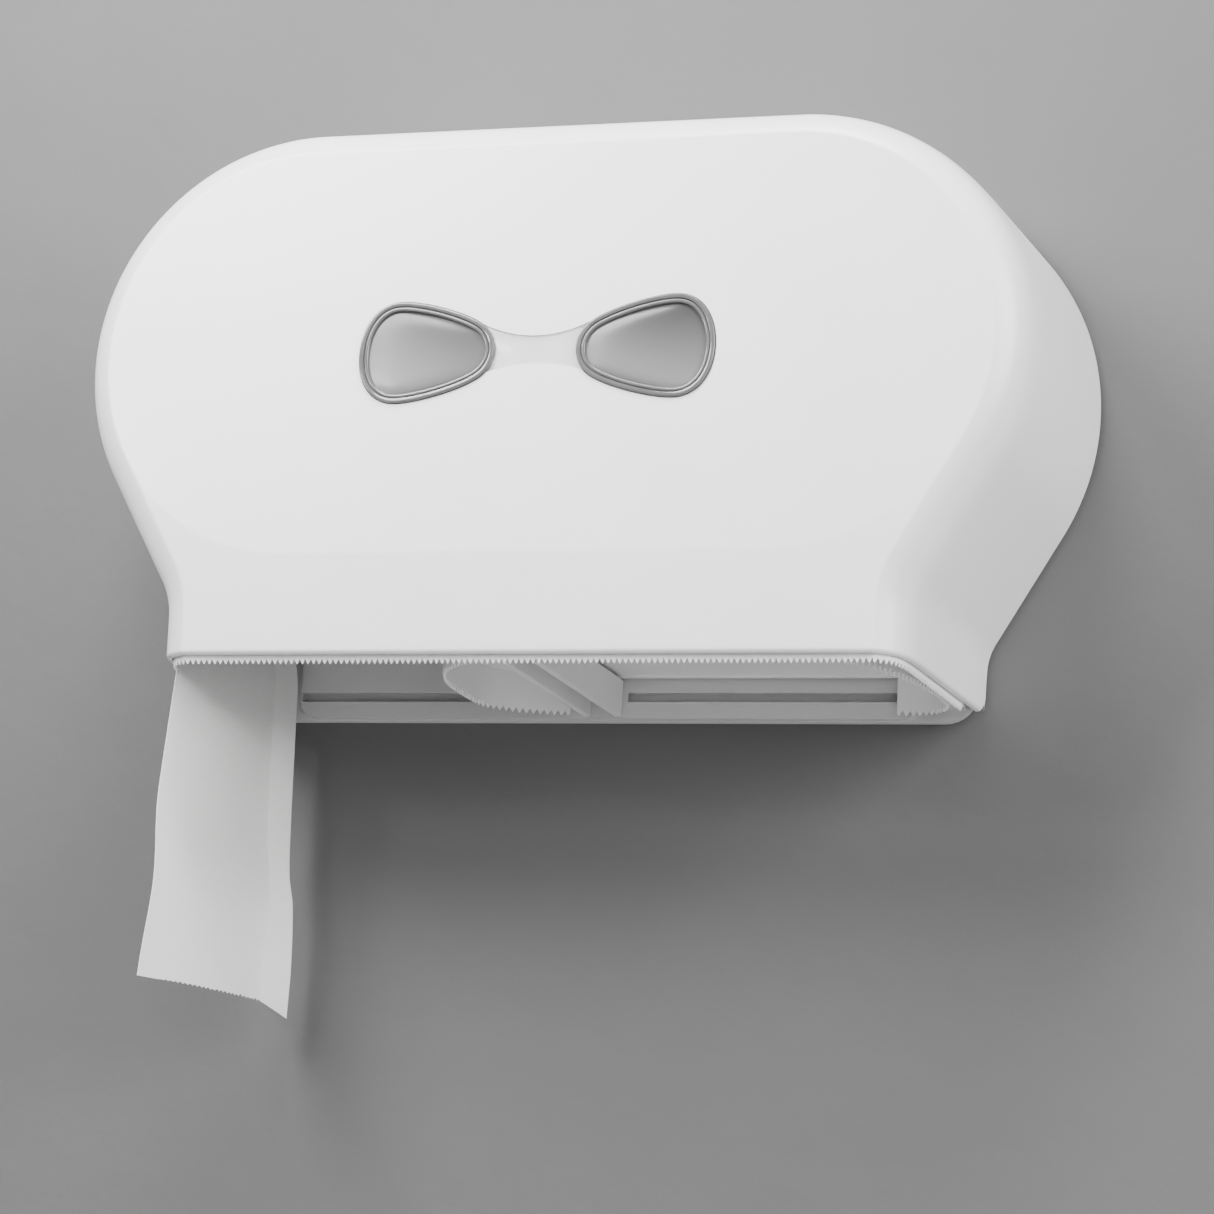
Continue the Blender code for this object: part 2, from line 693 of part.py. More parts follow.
def lock_plug():
    """Turning part of the lock, with a keyway above and a stem for the cam below."""
    plug = turned("lock_plug", (0, LOCK_Y, 0), "z", [
        (0.2530, 0.0), (0.2530, 0.0046), (0.2526, 0.0050), (0.2336, 0.0050), (0.2336, 0.0030),
        (0.2262, 0.0030), (0.2262, 0.0)], CHROME)
    cut(plug, box("cut_keyway", (-0.0028, LOCK_Y - 0.0007, 0.2470),
                  (0.0028, LOCK_Y + 0.0007, 0.2600)))
    return plug


def lock_cam():
    """Finger on the plug's stem. It points at the wall when unlocked."""
    low, high, hub, bore, half, length = 0.2290, 0.2320, 0.0052, 0.0031, 0.0040, 0.0175
    cam = rod("lock_cam", (0, LOCK_Y, 0), "z", (low, high), hub, STEEL, sides=24)
    join(cam, box("add_finger", (-half, LOCK_Y, low), (half, LOCK_Y + length, high)))
    cut(cam, rod("cut_cam", (0, LOCK_Y, 0), "z", (low - hub, high + hub), bore, sides=24))
    return cam


def lock_keeper():
    """Bracket on the plate. The cam's finger turns into its slot."""
    keeper = box("lock_keeper", (0.0110, -0.0410, 0.2130), (0.0135, SEAT_Y, 0.2365), WHITE)
    cut(keeper, box("cut_keeper", (0.0, -0.0378, 0.2275), (0.03, -0.0145, 0.2335)))
    join(keeper, box("add_keeper_foot", (0.0112, -0.0130, 0.2132),
                     (0.0230, SEAT_Y - 0.0001, 0.2240)))
    return keeper


def screw_places():
    return [(x, z) for z in SCREW_Z for x in (-SCREW_X, SCREW_X)]


def wall_screws():
    for i, (x, z) in enumerate(screw_places()):
        screw = turned(f"wall_screw_{i + 1}", (x, 0, z), "y", [
            (PAD_Y - 0.0032, 0.0), (PAD_Y - 0.0032, 0.0028), (PAD_Y - 0.0024, 0.0044),
            (SEAT_Y, 0.0048), (SEAT_Y, 0.0024), (-0.0004, 0.0024), (-0.0004, 0.0)],
            STEEL, steps=24)
        deep, wide = (PAD_Y - 0.0060, PAD_Y - 0.0016), (0.0022, 0.0004)
        for k, (half_x, half_z) in enumerate((wide, wide[::-1])):
            cut(screw, box(f"cut_cross_{i + 1}_{k}", (x - half_x, deep[0], z - half_z),
                           (x + half_x, deep[1], z + half_z)))


# ---------------------------------------------------------------- assembly

def build():
    cover = front_cover()
    lens = window_lens(cover)
    strip = cutter_strip()
    housing = lock_housing()
    pivot("cover_axis", (0, HINGE_Y, HINGE_Z), [cover, lens, strip, housing])
    pivot("lock_axis", (0, LOCK_Y, 0.240), [lock_plug(), lock_cam()])
    pivot("shutter_axis", (SHUTTER_X[0], SHUTTER_Y[1], SHUTTER_Z[1]), [roll_shutter()])
    back_plate()
    centre_bridge()
    shutter_guide()
    for side in SIDES:
        spindle(side)
        roll(side)
    paper_tail()
    hinge_pins()
    lock_keeper()
    wall_screws()


build()
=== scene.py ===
"""Looks for the twin toilet-roll dispenser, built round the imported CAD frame.

Metres, +Z up, the wall at Y = 0 and the front towards -Y.
"""

import json
import math
from contextlib import contextmanager

import bmesh
import bpy
from mathutils import Matrix, Vector, noise


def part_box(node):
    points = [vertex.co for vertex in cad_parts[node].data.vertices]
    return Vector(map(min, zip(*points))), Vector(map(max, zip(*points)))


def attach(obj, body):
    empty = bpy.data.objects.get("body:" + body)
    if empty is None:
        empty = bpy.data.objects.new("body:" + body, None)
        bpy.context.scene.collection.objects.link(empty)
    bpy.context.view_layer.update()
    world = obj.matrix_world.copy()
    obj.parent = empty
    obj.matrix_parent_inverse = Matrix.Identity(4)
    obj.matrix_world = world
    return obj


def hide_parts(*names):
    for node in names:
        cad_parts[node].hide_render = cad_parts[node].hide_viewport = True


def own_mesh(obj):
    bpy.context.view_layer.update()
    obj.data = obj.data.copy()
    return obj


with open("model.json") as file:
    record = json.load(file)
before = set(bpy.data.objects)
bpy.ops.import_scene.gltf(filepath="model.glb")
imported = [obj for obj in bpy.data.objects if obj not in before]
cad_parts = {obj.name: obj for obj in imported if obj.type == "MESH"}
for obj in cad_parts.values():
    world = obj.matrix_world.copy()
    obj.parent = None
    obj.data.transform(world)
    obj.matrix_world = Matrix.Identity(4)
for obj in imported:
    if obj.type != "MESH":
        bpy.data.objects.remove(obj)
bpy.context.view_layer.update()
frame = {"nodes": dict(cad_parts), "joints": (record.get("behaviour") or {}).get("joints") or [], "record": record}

# Places and names taken from the frame
RECORD = frame["record"]
BODY_OF = {node: body for body, nodes in RECORD["behaviour"]["bodies"].items() for node in nodes}
JOINTS = {joint["name"]: joint for joint in frame["joints"]}
SIDES = {"left": -1, "right": 1}
COVER_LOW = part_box("front_cover")[0]
FACE_Y, LIP_Z = COVER_LOW.y, COVER_LOW.z
REAR_Y = -0.0020                        # the cover's rear edge, just clear of the wall
STRIP_LOW, STRIP_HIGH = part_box("cutter_strip")
SHUTTER_LOW, SHUTTER_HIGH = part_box("roll_shutter")
LOCK_LOW, LOCK_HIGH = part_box("lock_housing")
LOCK_X, LOCK_Y = (LOCK_LOW.x + LOCK_HIGH.x) / 2, (LOCK_LOW.y + LOCK_HIGH.y) / 2
TAIL_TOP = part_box("paper_tail")[1].z


def axis_of(side):
    """A point on a roll's axis."""
    return JOINTS[f"roll_{side}_spin"]["pos_m"]


# Cover outline, seen from the front
LOBE_R = 0.0925                         # radius of the face's round ends
LOBE_X, LOBE_Z = 0.111, 0.1405          # centre of each round end
FLANK = math.radians(30)                # the flanks' angle from upright
NECK_X = 0.157                          # half width of the neck at the face
NECK_FILLET = 0.045                     # radius between the neck and the flank
CHIN_SLOPE = 0.085                      # how far the chin falls back per metre below the face
CREASE = 0.0010                         # half width of the rounding along the face's edge
LOBE_STEPS, FILLET_STEPS, LIP_STEPS = 72, 12, 40

# Cover's side wall, from the face back to the wall
BULGE, BULGE_DEPTH = 0.013, 0.006       # the wall's swell behind the face, and how soon it is reached
DRAFT = 0.045                           # the wall's spread per metre of depth, besides the swell
WALL = 0.0025                           # thickness
LIP_ROUND = 0.0021                      # rounding of the lower lip's outer edge
REAR_CORNER = 0.008                     # radius of the lower rear corners
FULL_DEPTH = REAR_Y - FACE_Y
DEPTHS = (0.0009, 0.0014, 0.0020, 0.0028, 0.0038, 0.0050, 0.0065, 0.0085, 0.0110, 0.0145, 0.0190,
          0.0250, 0.0350, 0.0500, 0.0720, 0.0980,
          *(FULL_DEPTH - REAR_CORNER * (1 - math.sin(k * math.pi / 16)) for k in range(9)))
GAP = 0.0003                            # clearance round what sits in the cover
LOCK_HOLE = 0.0093                      # radius of the hole for the lock's housing

# Window lens: each window blends three circles (x, z, radius), and the waist joins the two
WINDOW_CENTRE = (0.054, 0.138)
WINDOW_CIRCLES = ((0.0334, 0.1382, 0.0146), (0.0636, 0.1458, 0.0156), (0.0643, 0.1308, 0.0156))
WINDOW_BLEND = 8.5                      # the higher this is, the straighter the windows' sides
WINDOW_LOW_Z, WINDOW_HIGH_Z = 0.120, 0.157
RIM_WIDTH = 0.0043
WAIST_Z = (0.1321, 0.1442)              # its lower and upper edge in the middle
WAIST_CURVE = (6.8, 9.5)                # how fast each edge bends away to the sides
WAIST_END = 0.0245                      # where it stops, under the rims
SEAT_END, SEAT_DEPTH = 0.0310, 0.0012   # the recess it sits in

PER_TOOTH = 8                           # points along each tooth
FOLD_SHARE = 0.875                      # the fold's place across the hanging sheet


# ---------------------------------------------------------------- node trees

def new_material(name):
    material = bpy.data.materials.new(name)
    material.use_nodes = True
    tree = material.node_tree
    return material, tree, tree.nodes["Principled BSDF"]


def feed(tree, node, **values):
    """Fills a node's inputs, by name or as i and a number. A value that is a socket is linked."""
    for key, value in values.items():
        numbered = key[0] == "i" and key[1:].isdigit()
        socket = node.inputs[int(key[1:]) if numbered else key.replace("_", " ")]
        if isinstance(value, bpy.types.NodeSocket):
            tree.links.new(value, socket)
        else:
            socket.default_value = value


def add(tree, kind, **values):
    """New shader node, with its settings and its inputs filled in."""
    node = tree.nodes.new("ShaderNode" + kind)
    for setting in ("operation", "data_type"):
        if setting in values:
            setattr(node, setting, values.pop(setting))
    feed(tree, node, **values)
    return node


def noise_of(tree, vector, scale, detail=3.0, roughness=0.5):
    return add(tree, "TexNoise", Vector=vector, Scale=scale, Detail=detail,
               Roughness=roughness).outputs["Fac"]


def place(tree, stretch=(1, 1, 1)):
    """Object coordinates in metres, stretched along the axes."""
    coordinate = add(tree, "TexCoord").outputs["Object"]
    return add(tree, "Mapping", Vector=coordinate, Scale=stretch).outputs["Vector"]


def between(tree, factor, low, high):
    """Value that runs from low to high as the factor runs from 0.3 to 0.7."""
    return add(tree, "MapRange", Value=factor, From_Min=0.3, From_Max=0.7, To_Min=low,
               To_Max=high).outputs["Result"]


def darker(colour, share):
    return [share * c for c in colour]


def tint(tree, factor, dark, light):
    """Colour that runs from dark to light as the factor runs from 0.3 to 0.7."""
    return add(tree, "Mix", data_type="RGBA", i0=between(tree, factor, 0, 1), i6=(*dark, 1),
               i7=(*light, 1)).outputs[2]


def bump(tree, height, distance, strength=1.0, below=None):
    """Relief from a height, on top of the relief below it."""
    node = add(tree, "Bump", Height=height, Distance=distance, Strength=strength)
    if below is not None:
        feed(tree, node, Normal=below)
    return node.outputs["Normal"]


def mixed(tree, share, first, second):
    """Mix of two shader nodes, with the share that the second one has."""
    return add(tree, "MixShader", Fac=share, i1=first.outputs[0], i2=second.outputs[0])


def show(tree, node):
    """Makes a shader node the material's surface."""
    feed(tree, tree.nodes["Material Output"], Surface=node.outputs[0])


# ---------------------------------------------------------------- materials

def plastic(name, colour, roughness, grain, relief, coat=0.0):
    """Moulded plastic: fine grain, slow waviness, faint mottling."""
    material, tree, shader = new_material(name)
    where = place(tree)
    slow, fine = noise_of(tree, where, 16), noise_of(tree, where, grain, 4, 0.6)
    swell = bump(tree, slow, 0.0002, 0.35)
    feed(tree, shader, Base_Color=tint(tree, slow, darker(colour, 0.975), colour),
         Roughness=between(tree, slow, roughness - 0.03, roughness + 0.03),
         Normal=bump(tree, fine, relief, 0.5, swell), Coat_Weight=coat, Coat_Roughness=0.12)
    return material


def metal(name, colour, roughness, stretch):
    """Metal with fine lines along one direction."""
    material, tree, shader = new_material(name)
    lines = noise_of(tree, place(tree, stretch), 900, 4)
    blotch = noise_of(tree, place(tree), 220)
    feed(tree, shader, Base_Color=tint(tree, blotch, darker(colour, 0.86), colour),
         Roughness=between(tree, lines, roughness * 0.8, roughness * 1.3),
         Normal=bump(tree, lines, 0.00003, 0.5), Metallic=1.0)
    return material


def cardboard():
    """Brown board: fibres round the tube over the faint seams of its layers."""
    material, tree, shader = new_material("cardboard_board")
    fibre = noise_of(tree, place(tree, (1, 0.15, 1)), 1400, 5, 0.65)
    seam = add(tree, "TexWave", Vector=place(tree, (1, 1, 0.5)), Scale=26, Distortion=0.4)
    lines = bump(tree, seam.outputs["Fac"], 0.0001, 0.3)
    feed(tree, shader, Base_Color=tint(tree, fibre, (0.30, 0.21, 0.13), (0.46, 0.34, 0.22)),
         Roughness=0.9, Normal=bump(tree, fibre, 0.00012, 0.7, lines))
    return material


def tissue():
    """Tissue: crepe ridges across the web, loose fibres and a pattern of pressed dots."""
    material, tree, shader = new_material("tissue_sheet")
    crepe = noise_of(tree, place(tree, (0.5, 0.5, 5)), 420, 4, 0.6)
    fibre = noise_of(tree, place(tree), 1900, 3, 0.7)
    dots = add(tree, "TexVoronoi", Vector=place(tree), Scale=300.0, Randomness=0.0)
    low = bump(tree, dots.outputs["Distance"], 0.00012, 0.25)
    middle = bump(tree, crepe, 0.00022, 0.6, low)
    feed(tree, shader, Base_Color=tint(tree, crepe, [0.90] * 3, [0.96] * 3), Roughness=0.95,
         Sheen_Weight=0.3, Normal=bump(tree, fibre, 0.00006, 0.5, middle))
    through = add(tree, "BsdfTranslucent", Color=(0.95, 0.95, 0.94, 1), Normal=middle)
    lit = mixed(tree, 0.45, shader, through)
    shadow = add(tree, "LightPath").outputs["Is Shadow Ray"]
    passed = add(tree, "Math", operation="MULTIPLY", i0=shadow, i1=0.4).outputs[0]
    show(tree, mixed(tree, passed, lit, add(tree, "BsdfTransparent")))
    return material


def wound_paper(side):
    """A roll: wound layers as fine rings round its axis, with loose fibres over them."""
    material, tree, shader = new_material("tissue_wound_" + side)
    coordinate = add(tree, "TexCoord").outputs["Object"]
    offset = add(tree, "VectorMath", operation="SUBTRACT", i0=coordinate, i1=axis_of(side))
    flat = add(tree, "VectorMath", operation="MULTIPLY", i0=offset.outputs[0], i1=(1, 0, 1))
    radius = add(tree, "VectorMath", operation="LENGTH", i0=flat.outputs[0]).outputs["Value"]
    ring = add(tree, "CombineXYZ", X=radius).outputs[0]
    layers, bands = noise_of(tree, ring, 1800, 2), noise_of(tree, ring, 210, 2)
    fibre = noise_of(tree, place(tree), 900, 4, 0.65)
    wide = bump(tree, bands, 0.0004, 0.6)
    close = bump(tree, layers, 0.0002, 0.6, wide)
    feed(tree, shader, Base_Color=tint(tree, bands, [0.76] * 3, [0.85] * 3), Roughness=0.95,
         Sheen_Weight=0.1, Normal=bump(tree, fibre, 0.00012, 0.5, close))
    return material


def clear_pane():
    """Smoked clear plastic, made paler towards the bottom by a painted reflection, with soft reflections."""
    material, tree, shader = new_material("clear_pane")
    where = place(tree)
    cloud, haze = noise_of(tree, where, 26, 2), noise_of(tree, where, 800)
    height = add(tree, "SeparateXYZ", Vector=where).outputs["Z"]
    # painted reflection: the colour runs from dark at the top to pale at the bottom, standing in for reflected
    # light and the lit roll behind
    painted_reflection_fall = add(tree, "MapRange", Value=height, From_Min=WINDOW_LOW_Z, From_Max=WINDOW_HIGH_Z,
               To_Min=0.68, To_Max=0.32).outputs["Result"]
    feed(tree, shader, Base_Color=tint(tree, painted_reflection_fall, [0.07] * 3, [0.30] * 3),
         Roughness=between(tree, cloud, 0.20, 0.23), Specular_IOR_Level=0.45,
         Normal=bump(tree, haze, 0.00001, 0.3))
    through = add(tree, "BsdfTransparent", Color=(0.82, 0.82, 0.82, 1))
    show(tree, mixed(tree, 0.10, shader, through))
    return material


def clear_edge(name, grey, share, clear, coat):
    """Clear plastic over something: part of it is grey, and the rest lets light through."""
    material, tree, shader = new_material(name)
    where = place(tree)
    cloud, haze = noise_of(tree, where, 90, 2), noise_of(tree, where, 600)
    feed(tree, shader, Base_Color=tint(tree, cloud, [0.9 * grey] * 3, [grey] * 3),
         Roughness=between(tree, cloud, 0.08, 0.14), Coat_Weight=coat, Coat_Roughness=0.04,
         Normal=bump(tree, haze, 0.00002, 0.3))
    through = add(tree, "BsdfTransparent", Color=(clear, clear, clear, 1))
    show(tree, mixed(tree, share, shader, through))
    return material


def painted(name, grey):
    """Emulsion on plaster. It is clear from behind and lets the lamps behind it shine through."""
    material, tree, shader = new_material(name)
    where = place(tree)
    roller, trowel = noise_of(tree, where, 55, 5, 0.55), noise_of(tree, where, 7, 4)
    broad = bump(tree, trowel, 0.004, 0.25)
    feed(tree, shader, Base_Color=tint(tree, trowel, [0.97 * grey] * 3, [1.03 * grey] * 3),
         Roughness=0.8, Normal=bump(tree, roller, 0.0012, 0.35, broad))
    behind = add(tree, "NewGeometry").outputs["Backfacing"]
    shadow = add(tree, "LightPath").outputs["Is Shadow Ray"]
    unseen = add(tree, "Math", operation="MAXIMUM", i0=behind, i1=shadow).outputs[0]
    show(tree, mixed(tree, unseen, shader, add(tree, "BsdfTransparent")))
    return material


COVER_WHITE = plastic("cover_white", (0.86, 0.86, 0.86), 0.36, 1500, 0.00002, 0.12)
# painted shade: the same white plastic for the parts inside the cover, darkened to stand in for the shade that
# falls there
SHADED_INNER_WHITE = plastic("inner_white", (0.62, 0.62, 0.62), 0.46, 1100, 0.00005)
STRIP_WHITE = plastic("strip_white", (0.84, 0.84, 0.84), 0.40, 1300, 0.00003)
CAP_GREY = plastic("cap_grey", (0.30, 0.31, 0.32), 0.50, 900, 0.00006)
PANE = clear_pane()
RIM = clear_edge("clear_rim", 0.19, 0.15, 0.90, 0.5)
WAIST = clear_edge("clear_waist", 0.86, 0.80, 0.98, 0.2)
ZINC = metal("zinc", (0.60, 0.60, 0.61), 0.32, (1, 1, 6))
CHROME = metal("chrome", (0.78, 0.78, 0.79), 0.16, (6, 6, 1))
BOARD = cardboard()
TISSUE = tissue()


# ---------------------------------------------------------------- mesh helpers

@contextmanager
def edited(data):
    """The mesh as a bmesh, which is written back at the end."""
    bm = bmesh.new()
    bm.from_mesh(data)
    yield bm
    bm.to_mesh(data)
    bm.free()


def linked(name, data):
    """New object in the scene."""
    obj = bpy.data.objects.new(name, data)
    bpy.context.scene.collection.objects.link(obj)
    return obj


def shade(data, smooth):
    """Smooth shading, with every edge sharper than this angle in degrees kept."""
    data.shade_smooth()
    data.set_sharp_from_angle(angle=math.radians(smooth))


def piece(name, data, look, node, smooth=40, closed=True):
    """Links a mesh as a piece that stands for a CAD node: material, body and shading."""
    obj = linked(name, data)
    with edited(data) as bm:
        bmesh.ops.remove_doubles(bm, verts=bm.verts, dist=0.000001)
        if closed:
            bmesh.ops.recalc_face_normals(bm, faces=bm.faces)
    data.materials.append(look)
    shade(data, smooth)
    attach(obj, BODY_OF[node])
    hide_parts(node)
    return obj


def mesh(name, verts, faces):
    data = bpy.data.meshes.new(name)
    data.from_pydata(verts, [], faces)
    return data


def loft(name, rings, along=False, ends=False):
    """Surface through closed rings of equal length. along joins last to first, ends caps both."""
    count, total = len(rings[0]), len(rings)
    verts = [p for ring in rings for p in ring]
    faces = []
    for j in range(total if along else total - 1):
        here, there = j * count, (j + 1) % total * count
        for i in range(count):
            k = (i + 1) % count
            faces.append((here + i, here + k, there + k, there + i))
    if ends:
        faces.append(tuple(range(count))[::-1])
        faces.append(tuple((total - 1) * count + i for i in range(count)))
    return mesh(name, verts, faces)


def clamped(value):
    """The value, held between 0 and 1."""
    return min(max(value, 0.0), 1.0)


def turns(steps):
    """Equal steps of one whole turn."""
    return [2 * math.pi * k / steps for k in range(steps)]


def lathe(name, centre, profile, steps=144):
    """Closed body turned round the Y axis through centre. Profile points are (y, radius)."""
    rings = [[(centre[0] + radius * math.cos(t), y, centre[2] + radius * math.sin(t))
              for t in turns(steps)] for y, radius in profile]
    return loft(name, rings, along=True)


def arc(cx, cy, a, b, start, end, steps):
    """Part of an ellipse with half axes a and b."""
    places = [start + (end - start) * i / steps for i in range(steps + 1)]
    return [(cx + a * math.cos(t), cy + b * math.sin(t)) for t in places]


def resample(path, count):
    """The same path in count equal steps, both ends included."""
    lengths = [math.dist(a, b) for a, b in zip(path, path[1:])]
    total = sum(lengths)
    out, segment, passed = [path[0]], 0, 0.0
    for k in range(1, count):
        goal = total * k / count
        while passed + lengths[segment] < goal:
            passed += lengths[segment]
            segment += 1
        share = (goal - passed) / lengths[segment]
        a, b = path[segment], path[segment + 1]
        out.append((a[0] + (b[0] - a[0]) * share, a[1] + (b[1] - a[1]) * share))
    return out + [path[-1]]


def length_of(path):
    return sum(math.dist(a, b) for a, b in zip(path, path[1:]))


def normals_of(path, closed):
    """Unit normal at each point, to the left of the way the path runs."""
    out, count = [], len(path)
    for k in range(count):
        a = path[(k - 1) % count] if closed or k else path[0]
        b = path[(k + 1) % count] if closed or k < count - 1 else path[-1]
        along = Vector((b[0] - a[0], b[1] - a[1])).normalized()
        out.append(Vector((-along.y, along.x)))
    return out


def baked(obj):
    """Replaces an object's mesh with its evaluated one and drops the modifiers."""
    graph = bpy.context.evaluated_depsgraph_get()
    graph.update()
    data = bpy.data.meshes.new_from_object(obj.evaluated_get(graph))
    obj.modifiers.clear()
    obj.data = data


def refined(node, look, width=0.0, smooth=35):
    """New piece from a CAD node's mesh: welded, flat regions merged, edges rounded."""
    data = bpy.data.meshes.new(node)
    bm = bmesh.new()
    bm.from_mesh(frame["nodes"][node].data)
    bmesh.ops.remove_doubles(bm, verts=bm.verts, dist=0.000005)
    bmesh.ops.dissolve_limit(bm, angle_limit=math.radians(0.5), verts=bm.verts, edges=bm.edges)
    bm.to_mesh(data)
    bm.free()
    obj = piece(node + "_fine", data, look, node, smooth)
    if width:
        mod = obj.modifiers.new("round", "BEVEL")
        mod.width, mod.segments, mod.angle_limit = width, 2, math.radians(40)
        mod.use_clamp_overlap = True
        baked(obj)
        shade(obj.data, smooth)
    flatten_normals(obj)


def flatten_normals(obj):
    """Large faces keep flat shading next to narrow rounded ones."""
    mod = obj.modifiers.new("normals", "WEIGHTED_NORMAL")
    mod.keep_sharp = True


# ---------------------------------------------------------------- cover

def shares(reach):
    """Where points stand along a line below the crease, closer together at the crease."""
    steps = 8
    band = min(2 * CREASE / max(reach, 0.00001), 0.4)
    return [0.0, band / 2, *(band + (1 - band) * k / steps for k in range(steps + 1))]


def half_outline(grow, bottom):
    """Right half of the outline, from its lower end up over the round end."""
    tangent_x = LOBE_X + LOBE_R * math.cos(FLANK)
    tangent_z = LOBE_Z - LOBE_R * math.sin(FLANK)
    corner_z = tangent_z - (tangent_x - NECK_X) / math.tan(FLANK)
    start_z = corner_z - NECK_FILLET * math.tan(FLANK / 2)
    radius = NECK_FILLET - grow
    fillet = arc(NECK_X + NECK_FILLET, start_z, radius, radius, math.pi, math.pi - FLANK,
                 FILLET_STEPS)
    lobe = arc(LOBE_X, LOBE_Z, LOBE_R + grow, LOBE_R + grow, -FLANK, math.pi / 2, LOBE_STEPS)
    (ax, az), (bx, bz) = lobe[0], fillet[-1]
    straight = [(ax + (bx - ax) * t, az + (bz - az) * t)
                for t in shares(math.dist(lobe[0], fillet[-1]))[-2:0:-1]]
    return [(NECK_X + grow, bottom)] + fillet + straight + lobe


def outline(grow, bottom=LIP_Z):
    """Open outline: up the right side, over the top and down the left side."""
    right = half_outline(grow, bottom)
    return right + [(-x, z) for x, z in reversed(right)]


def flare(depth):
    """How far the side wall stands outside the face's edge, by depth behind the face."""
    return BULGE * (1 - math.exp(-depth / BULGE_DEPTH)) + DRAFT * depth


def chin_drop(x, z):
    """How far the front falls back below the face's outline, eased over the crease."""
    outside = math.hypot(max(abs(x) - LOBE_X, 0.0), min(z - LOBE_Z, 0.0)) - LOBE_R
    if outside < -CREASE:
        return 0.0
    if outside > CREASE:
        return CHIN_SLOPE * outside
    return CHIN_SLOPE * (outside + CREASE) ** 2 / (4 * CREASE)


def corner_lift(depth):
    """How far the side wall's lower edge rises towards its rear corner."""
    past = max(depth - (FULL_DEPTH - REAR_CORNER), 0.0)
    return REAR_CORNER - math.sqrt(max(REAR_CORNER ** 2 - past ** 2, 0.0))


def side_rings():
    """Rings of the side wall, from just inside the face's edge back to the wall."""
    step = 0.0002
    steep = (flare(step) - flare(0.0)) / step
    edge = [(grow, (grow + CREASE) ** 2 / (4 * CREASE * steep))
            for grow in (-CREASE, -CREASE / 2, 0.0, CREASE / 2)]
    rings = []
    for grow, depth in edge + [(flare(d), d) for d in DEPTHS]:
        shape, fronts = outline(grow, LIP_Z + corner_lift(depth)), outline(min(grow, 0.0))
        ring = []
        for (x, z), front in zip(shape, fronts):
            y = FACE_Y + chin_drop(*front)
            ring.append((x, y + (REAR_Y - y) * depth / FULL_DEPTH, z))
        rings.append(ring)
    return rings


def chin_columns(ring):
    """Columns of the chin, each from the face's crease down to the flank or the lip."""
    flank = FILLET_STEPS + 1
    count = len(ring)
    half = NECK_X - CREASE
    lip = [(half * (1 - 2 * i / LIP_STEPS), LIP_Z) for i in range(1, LIP_STEPS)]
    flat = [(p[0], p[2]) for p in ring]
    low = flat[flank::-1] + lip + flat[count - 1:count - flank - 2:-1]
    radius = LOBE_R - CREASE
    right = arc(LOBE_X, LOBE_Z, radius, radius, -FLANK, -math.pi / 2, flank)
    middle = [(LOBE_X * (1 - 2 * i / LIP_STEPS), LOBE_Z - radius) for i in range(1, LIP_STEPS)]
    high = right + middle + [(-x, z) for x, z in reversed(right)]
    columns = []
    for (hx, hz), (lx, lz) in zip(high, low):
        column = []
        for t in shares(math.hypot(hx - lx, hz - lz)):
            x, z = hx + (lx - hx) * t, hz + (lz - hz) * t
            column.append((x, FACE_Y + chin_drop(x, z), z))
        columns.append(column)
    return columns


def cover_surface():
    """Outer surface of the cover: side wall, chin and face."""
    rings = side_rings()
    count = len(rings[0])
    columns = chin_columns(rings[0])
    verts = [p for ring in rings for p in ring]
    faces = []
    for j in range(len(rings) - 1):
        for i in range(count - 1):
            a = j * count + i
            faces.append((a, a + 1, a + count + 1, a + count))
    base, rows = len(verts), len(columns[0])
    verts += [p for column in columns for p in column]
    for i in range(len(columns) - 1):
        for j in range(rows - 1):
            a = base + i * rows + j
            faces.append((a, a + rows, a + rows + 1, a + 1))
    crease = [base + i * rows for i in range(1, len(columns) - 1)]
    lobe = FILLET_STEPS + rows
    faces.append(tuple(crease[::-1]) + tuple(range(lobe, count - lobe)))
    return verts, faces


def prism(outline_xz, near, far):
    """Closed prism between two depths."""
    return loft("prism", [[(x, y, z) for x, z in outline_xz] for y in (near, far)], ends=True)


def cut(obj, *shapes):
    """Cuts closed meshes out of an object."""
    cutters = []
    for shape in shapes:
        with edited(shape) as bm:
            bmesh.ops.recalc_face_normals(bm, faces=bm.faces)
        cutter = linked("cutter", shape)
        mod = obj.modifiers.new("cut", "BOOLEAN")
        mod.operation, mod.solver, mod.object = "DIFFERENCE", "EXACT", cutter
        cutters.append(cutter)
    baked(obj)
    for cutter in cutters:
        bpy.data.objects.remove(cutter)


def front_cover():
    """Shell with a rounded lip, cut for the lock, the two windows and the strip between them."""
    data = mesh("cover_shell", *cover_surface())
    cover = piece("cover_shell", data, COVER_WHITE, "front_cover", 20, closed=False)
    orient_out(cover)
    boundary = open_edges(cover.data)
    wall = cover.modifiers.new("wall", "SOLIDIFY")
    wall.thickness, wall.offset, wall.use_quality_normals = WALL, -1, True
    baked(cover)
    round_lip(cover, boundary)
    baked(cover)
    above_lock, before_seat, past_window = 0.010, 0.004, 0.006     # how far the cutters stand out
    lock_hole = upright(LOCK_HOLE, LOCK_LOW.z, LOCK_HIGH.z + above_lock)
    seat = prism(waist_seat_outline(), FACE_Y - before_seat, FACE_Y + SEAT_DEPTH)
    windows = [prism(window_outline(sign, GAP), FACE_Y - past_window, FACE_Y + past_window)
               for sign in SIDES.values()]
    cut(cover, lock_hole, seat, *windows)
    shade(cover.data, 24)
    flatten_normals(cover)


def orient_out(obj):
    """Turns an open shell's faces to point towards the front."""
    with edited(obj.data) as bm:
        bmesh.ops.recalc_face_normals(bm, faces=bm.faces)
        if max(bm.faces, key=lambda f: f.calc_area()).normal.y > 0:
            bmesh.ops.reverse_faces(bm, faces=bm.faces)


